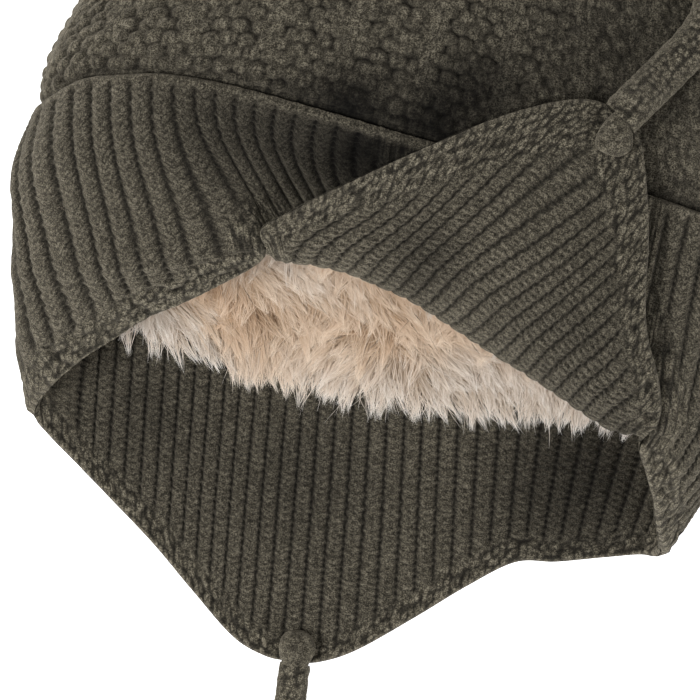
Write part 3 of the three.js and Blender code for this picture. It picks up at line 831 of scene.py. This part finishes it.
def crown_relief(rib, lengths):
    """Round bobbles in staggered rows, with smooth bars between blocks: height in mm, and lift, by which the
    material paints shade into the pits.
    """
    across = rib * CROWN_RIB_STEP
    wave = ripple(across / 7, lengths / 7, 31, 1.5)
    bump = knots(across + wave, lengths + wave[:, ::-1], BOBBLE, 17, 0.16, 3, 0.6)
    # The bars run up the crown, clear of the cuff.
    bar_place = rib - BAR_FIRST + 0.1 * ripple(lengths / 9, rib / 9, 37)
    off_bar = np.abs((bar_place + BAR_STEP / 2) % BAR_STEP - BAR_STEP / 2)
    bar = np.clip((0.55 - off_bar) / 0.2, 0, 1) * np.clip((lengths - 14) / 8, 0, 1)
    # The bobbles are flatter on the right, where the crown is stretched.
    stretched = np.clip((rib - 22) / 8, 0, 1)
    height = (BOBBLE_HEIGHT - BOBBLE_LOWER * stretched) * (bump - 0.7) * (1 - bar) + BAR_HEIGHT * bar
    lift = (0.1 + 0.9 * bump) * (1 - bar) + 0.95 * bar
    return height, lift + (0.75 - lift) * 0.45 * stretched


def crown_light_lost(rib, lengths, middle):
    """The share of painted shade on the crown: beside the cuff, more so on the right, and in deep places."""
    # Painted shade along the cuff's edge, where the crown tucks under it.
    edge_shade = 0.3 + 0.3 * np.clip((rib - 6) / 8, 0, 1)
    by_edge = edge_shade * np.exp(-(np.maximum(lengths - CROWN_TUCK, 0) / 6) ** 2)
    return 1 - (1 - by_edge) * (1 - light_lost("crown", middle))


def make_crown(name, rib_range, columns, degrees, detail):
    """A part of the crown, from its seam on the cuff to the top, with a share of its full relief."""
    ribs = np.linspace(*rib_range, columns)
    keys, insets = np.transpose(CROWN_BULGE)
    dome = dome_middle(ribs, degrees, np.interp(degrees, keys, insets))
    quarter = np.linalg.norm(top_edge(ribs) - below_top(ribs), axis=-1)
    share = CROWN_TUCK / quarter * BELOW_TOP_AT
    inside = np.array([cuff_middle([rib], [at])[0, 0] for rib, at in zip(ribs, share)])
    above = np.array([cuff_outward([rib], [at])[0, 0] for rib, at in zip(ribs, share)])
    middle = np.concatenate([(inside - above * CROWN_RIM_INSET)[None], dome])
    outward = grid_normals(middle, closed=False)
    outward *= np.sign(np.sum(outward * (middle - np.array(CROWN_MIDDLE)), axis=-1, keepdims=True))
    lengths = arc_lengths(middle)
    rib = np.broadcast_to(ribs[None, :], lengths.shape)
    height, lift = crown_relief(rib, lengths)
    # The relief grows over the first rows, so that the rim stays thin.
    height = height * detail * np.clip((np.arange(len(middle)) - 1) / 4, 0, 1)[:, None]
    places = middle + outward * (CROWN_WALL / 2 - CROWN_RELIEF_INSET + height)[..., None]
    # The rim's edge is sewn to the cuff, and follows the hollows under its ribs.
    seam = rib_height(ribs, CROWN_TUCK / COURSE, 0, STITCH_HEIGHT["outside"])[0] - SEAM_BELOW
    places[0] = inside + above * (WALL / 2 + seam)[:, None]
    places[..., 2] = np.maximum(places[..., 2], 0)
    obj = new_object(name, places, grid_faces(len(middle), columns), "knit_yarn", "crown")
    # The small stitches are drawn out along the knitting, which reads as brushed fibres.
    add_uv(obj, "pebble", rib * CROWN_RIB_STEP * 1.5, lengths * 0.5)
    # Painted shade: "lift" darkens the pits between the bobbles, "lost" the crown beside the cuff and in deep
    # places.
    add_floats(obj, "lift", lift)
    add_floats(obj, "lost", crown_light_lost(rib, lengths, middle))
    add_floats(obj, "plain", np.full(lift.shape, 0.55))
    obj.data.materials.append(yarn)


# Degrees up the dome at which the crown's mesh has a row of points.
FIRST_DEGREE = 0.8
LAST_DEGREE = 89
NEAR_CROWN_ROWS = np.concatenate([np.linspace(FIRST_DEGREE, 34, 150), np.linspace(35, LAST_DEGREE, 52)])
FAR_CROWN_ROWS = np.linspace(FIRST_DEGREE, LAST_DEGREE, 60)
make_crown("crown_near_knit", (-0.6, 42.6), 400, NEAR_CROWN_ROWS, 1.0)
make_crown("crown_far_knit", FAR_HALF, 130, FAR_CROWN_ROWS, 0.5)

# The knobs: half their size along X, Y and Z, their middles, and how far their necks reach to the ties.
KNOB_HALF = (5.75, 4.5, 3.3)
NEAR_KNOB = (56.2, 38.4, 81.5)
NEAR_NECK = (0.5, 6, 1)
FAR_KNOB = (-6.2, -135.2, 8)
FAR_NECK = (0.5, -6.5, -1.5)


def make_knob(name, centre, neck, *nodes):
    """A rounded knob drawn out towards the tie."""
    rows, columns, pole = 40, 60, 0.02
    polar = np.linspace(pole, math.pi - pole, rows)[:, None]
    turn = np.linspace(0, 2 * math.pi, columns, endpoint=False)[None, :]
    bump = 0.15 * (np.sin(turn * 3 + polar * 2) + np.sin(turn * 5 - polar * 3))
    half_x, half_y, half_z = KNOB_HALF
    ball = np.stack([(half_x + bump) * np.sin(polar) * np.cos(turn),
                     (half_y + bump) * np.sin(polar) * np.sin(turn),
                     (half_z + bump) * np.cos(polar)], axis=-1)
    pull = np.clip(unit(ball) @ unit(np.array(neck)), 0, 1) ** 1.5
    places = np.array(centre) + ball + pull[..., None] * np.array(neck)
    obj = new_object(name, places, grid_faces(rows, columns, closed=True), "knit_yarn", *nodes)
    add_uv(obj, "pebble", places[..., 0], places[..., 1])
    # Painted shade in the knob's small dips.
    add_floats(obj, "lift", np.clip(0.95 + bump, 0, 1))
    add_floats(obj, "plain", np.full(bump.shape, 0.6))
    obj.data.materials.append(yarn)


make_knob("tie_near_knob_knit", NEAR_KNOB, NEAR_NECK, "tie_near_knob")
make_knob("tie_far_knob_knit", FAR_KNOB, FAR_NECK, "tie_far_knob")

# The lining's middle as a grid, from its hem up into the crown.
LINING_COLUMNS = 240
LINING_DOME_DEG = np.array([7, 19, 32, 45, 58])
LINING_MIDDLE = (0, 20, 26)
FINE_ROWS = 161
BACKING_ROWS = 60


def lining_line():
    """The lining's middle as a smooth line through its rows, from the hem up, and its last row."""
    ribs = np.linspace(0, RIBS, LINING_COLUMNS, endpoint=False)
    rim = lining_hem(ribs)
    waist = (cuff_middle(ribs, [BELOW_TOP_AT])[0]
             - cuff_outward(ribs, [BELOW_TOP_AT])[0] * LINING_INSET)
    sink = np.maximum(roll(ribs)[:, 0], 0)
    rows = [rim]
    for share in (0.35, 0.7):
        row = rim + (waist - rim) * share
        row[:, 2] -= sink * math.sin(math.pi * share)
        rows.append(row)
    rows.append(waist)
    rows.extend(dome_middle(ribs, LINING_DOME_DEG, np.full(len(LINING_DOME_DEG), LINING_INSET)))
    keys = np.arange(len(rows), dtype=float)
    return smooth(np.column_stack([keys, np.stack(rows).reshape(len(rows), -1)])), len(rows) - 1


def into_the_hat(places):
    """Directions square to the lining that point into the hat."""
    normals = grid_normals(places)
    return normals * np.sign(np.sum(normals * (np.array(LINING_MIDDLE) - places)))


# How far in from the hem the fur is made, in mm, and the lining's rows at such distances.
FUR_DEPTH = 52
FUR_DEPTH_TO_ROW = ((0, 21, 68), (0, 3, 4))
# Steps that spread numbers evenly over the fur's length and depth.
EVEN_ACROSS = 0.7548777
EVEN_DEEP = 0.5698403
# The share of the tufts on the seen far side, its first rib, and the ribs that it spans.
FAR_SHARE = 0.8
FAR_FIRST = 43
FAR_SPAN = 40.5
# How far under the lining's face the hairs grow, in mm, and how wide half a hair is.
ROOT_UNDER = 1.5
HAIR_HALF = (0.06, 0.13)
# Shares of its length at which a hair's points lie: three on its left, three on its right, and its tip.
HAIR_POINTS = (0, 0.35, 0.7, 0, 0.35, 0.7, 1.0)
HAIR_FACES = [(0, 3, 4), (0, 4, 1), (1, 4, 5), (1, 5, 2), (2, 5, 6)]


def sample(field, rib, row, last):
    """Values between the points of the lining's fine grid."""
    u = rib / RIBS * LINING_COLUMNS
    v = np.clip(row / last * (FINE_ROWS - 1), 0, FINE_ROWS - 1.001)
    k, r = np.floor(u).astype(int), np.floor(v).astype(int)
    fu, fv = (u - k)[:, None], (v - r)[:, None]
    k, k1 = k % LINING_COLUMNS, (k + 1) % LINING_COLUMNS
    return ((field[r, k] * (1 - fu) + field[r, k1] * fu) * (1 - fv)
            + (field[r + 1, k] * (1 - fu) + field[r + 1, k1] * fu) * fv)


def make_fur(name, seed, strands, clumps):
    """Locks of fur: thin bent blades that lean together in tufts."""
    rng = np.random.default_rng(seed)
    line, last = lining_line()
    fine = line(np.linspace(0, last, FINE_ROWS)).reshape(FINE_ROWS, LINING_COLUMNS, 3)
    inward = into_the_hat(fine)
    # Tufts are spread evenly: most on the seen far side, the others all round.
    count = np.arange(clumps) + seed
    even, deep = (count * EVEN_ACROSS) % 1, (count * EVEN_DEEP) % 1
    far = rng.random(clumps) < FAR_SHARE
    tuft_rib = np.where(far, FAR_FIRST + FAR_SPAN * even, RIBS * even) + rng.normal(0, 0.3, clumps)
    tuft_deep = deep * FUR_DEPTH
    tuft_row = np.interp(tuft_deep, *FUR_DEPTH_TO_ROW)
    root = sample(fine, tuft_rib, tuft_row, last)
    up = unit(sample(inward, tuft_rib, tuft_row, last))
    down = unit(sample(fine, tuft_rib, np.maximum(tuft_row - 0.15, 0), last)
                - sample(fine, tuft_rib, tuft_row + 0.15, last))
    sway = unit(np.cross(up, down))
    # Tufts deeper inside are longer and lean about more; those at the hem are paler.
    inside = np.clip(tuft_deep / 16, 0, 1)[:, None]
    lean = ((0.3 + 1.3 * inside) * ripple(tuft_rib * 0.5, tuft_deep * 0.11, 51)[:, None]
            + rng.normal(0, 1, (clumps, 1)) * (0.22 + 0.3 * inside))
    comb = unit(down + sway * lean)
    long = rng.uniform(6.5, 14.5, (clumps, 1)) + 3 * inside
    reach = root + up * (LINING_WALL / 2 + rng.uniform(0.5, 3.5, (clumps, 1))) + comb * long
    tone = (0.42 + 0.35 * ripple(tuft_rib * 0.4, tuft_deep * 0.1, 57)
            + 0.75 * (1 - inside[:, 0]) ** 0.7)
    tone = np.clip(tone + rng.normal(0, 0.06, clumps), 0, 1)
    # Each hair grows near its tuft's middle and ends near the tuft's tip.
    which = rng.integers(0, clumps, strands)
    hair_rib = (tuft_rib[which] + rng.normal(0, 0.5, strands)) % RIBS
    hair_row = np.interp(np.abs(tuft_deep[which] + rng.normal(0, 2.3, strands)), *FUR_DEPTH_TO_ROW)
    base = (sample(fine, hair_rib, hair_row, last)
            + sample(inward, hair_rib, hair_row, last) * (LINING_WALL / 2 - ROOT_UNDER))
    stray = np.where(rng.random((strands, 1)) < 0.12, 1.6, 0.45)
    tip = (reach[which] + rng.normal(0, 1, (strands, 3)) * stray
           - comb[which] * rng.exponential(1.5, (strands, 1)))
    curl = sway[which] * rng.normal(0, 1.1, (strands, 1))
    lifted = (base * 0.5 + tip * 0.5) + up[which] * rng.uniform(1.2, 3.0, (strands, 1)) + curl
    steps = np.array(HAIR_POINTS[3:])[None, :, None]
    centre = ((1 - steps) ** 2 * base[:, None] + 2 * steps * (1 - steps) * lifted[:, None]
              + steps ** 2 * tip[:, None])
    broad = unit(np.cross(unit(tip - base), up[which] + rng.normal(0, 0.5, (strands, 3))))[:, None]
    half = rng.uniform(*HAIR_HALF, (strands, 1, 1)) * np.array([1, 1, 0.7])[None, :, None]
    points = np.concatenate([centre[:, :3] - broad * half, centre[:, :3] + broad * half,
                             centre[:, 3:]], axis=1)
    points[..., 2] = np.maximum(points[..., 2], 0.3)
    each = len(HAIR_POINTS)
    first = np.arange(strands)[:, None] * each
    faces = (first[:, :, None] + np.array(HAIR_FACES)[None]).reshape(-1, 3)
    obj = new_object(name, points, faces, "faux_fur", "lining")
    add_floats(obj, "tip", np.tile(np.array(HAIR_POINTS), (strands, 1)))
    hair_tone = np.clip(tone[which] + rng.normal(0, 0.05, strands), 0, 1)
    add_floats(obj, "tone", np.repeat(hair_tone, each))
    # The hairs shade like the soft surface that they make together.
    facing = unit(up[which] + 0.3 * comb[which] + rng.normal(0, 0.13, (strands, 3)))
    obj.data.normals_split_custom_set_from_vertices(np.repeat(facing, each, axis=0))
    obj.data.materials.append(fur)


# How far under the lining's face its backing lies, in mm, and the backing's colour.
BACKING_UNDER = 1.6
BACKING_TIP = 0.3
BACKING_TONE = 0.4


def make_backing():
    """The backing under the fur, which meets the middle of the lining's wall at the hem."""
    line, last = lining_line()
    middle = line(np.linspace(0, last, BACKING_ROWS)).reshape(BACKING_ROWS, LINING_COLUMNS, 3)
    places = middle + into_the_hat(middle) * (LINING_WALL / 2 - BACKING_UNDER)
    places[0] = middle[0]
    obj = new_object("lining_backing", places, grid_faces(BACKING_ROWS, LINING_COLUMNS, closed=True),
                     "faux_fur", "lining")
    add_floats(obj, "tip", np.full(places.shape[:2], BACKING_TIP))
    add_floats(obj, "tone", np.full(places.shape[:2], BACKING_TONE))
    obj.data.materials.append(fur)


make_backing()
make_fur("lining_fur_1", 101, 30000, 900)
make_fur("lining_fur_2", 102, 30000, 900)

# The floor's size and level and its glow, the light of the sky, and the two lamps with what they aim at.
FLOOR_SIZE = 6
FLOOR_LEVEL = -0.0002
FLOOR_GLOW = 0.8
LIGHT_SKY = 0.4
LIGHT_AIM = (0, -0.04, 0.03)
KEY_PLACE = (-0.8, -0.5, 1.3)
KEY_SIZE = 0.6
KEY_POWER = 28.5
FILL_PLACE = (1.3, -0.8, 1.0)
FILL_SIZE = 0.8
FILL_POWER = 17.5


def make_floor():
    """A plain pale floor."""
    bpy.ops.mesh.primitive_plane_add(size=FLOOR_SIZE, location=(0, 0, FLOOR_LEVEL))
    floor = bpy.context.object
    floor.name = "floor"
    material = bpy.data.materials.new("floor")
    _, shader = nodes_of(material)
    shader.inputs["Base Color"].default_value = (0.9, 0.9, 0.9, 1)
    shader.inputs["Emission Color"].default_value = (1, 1, 1, 1)
    shader.inputs["Emission Strength"].default_value = FLOOR_GLOW
    shader.inputs["Roughness"].default_value = 0.9
    shader.inputs["Specular IOR Level"].default_value = 0.0
    floor.data.materials.append(material)


def make_light(name, place, size, power):
    """A soft square lamp that aims at the hat."""
    data = bpy.data.lights.new(name, "AREA")
    data.size = size
    data.energy = power
    light = bpy.data.objects.new(name, data)
    light.location = place
    aim = np.array(LIGHT_AIM) - np.array(place)
    light.rotation_euler = (math.atan2(math.hypot(aim[0], aim[1]), -aim[2]), 0,
                            math.atan2(aim[1], aim[0]) - math.pi / 2)
    scene.collection.objects.link(light)


def make_world():
    """An even white sky."""
    world = bpy.data.worlds.new("world")
    world.use_nodes = True
    sky = world.node_tree.nodes["Background"]
    sky.inputs["Color"].default_value = (1, 1, 1, 1)
    sky.inputs["Strength"].default_value = LIGHT_SKY
    scene.world = world


make_floor()
make_world()
make_light("key", KEY_PLACE, KEY_SIZE, KEY_POWER)
make_light("fill", FILL_PLACE, FILL_SIZE, FILL_POWER)
scene.view_settings.view_transform = "Standard"
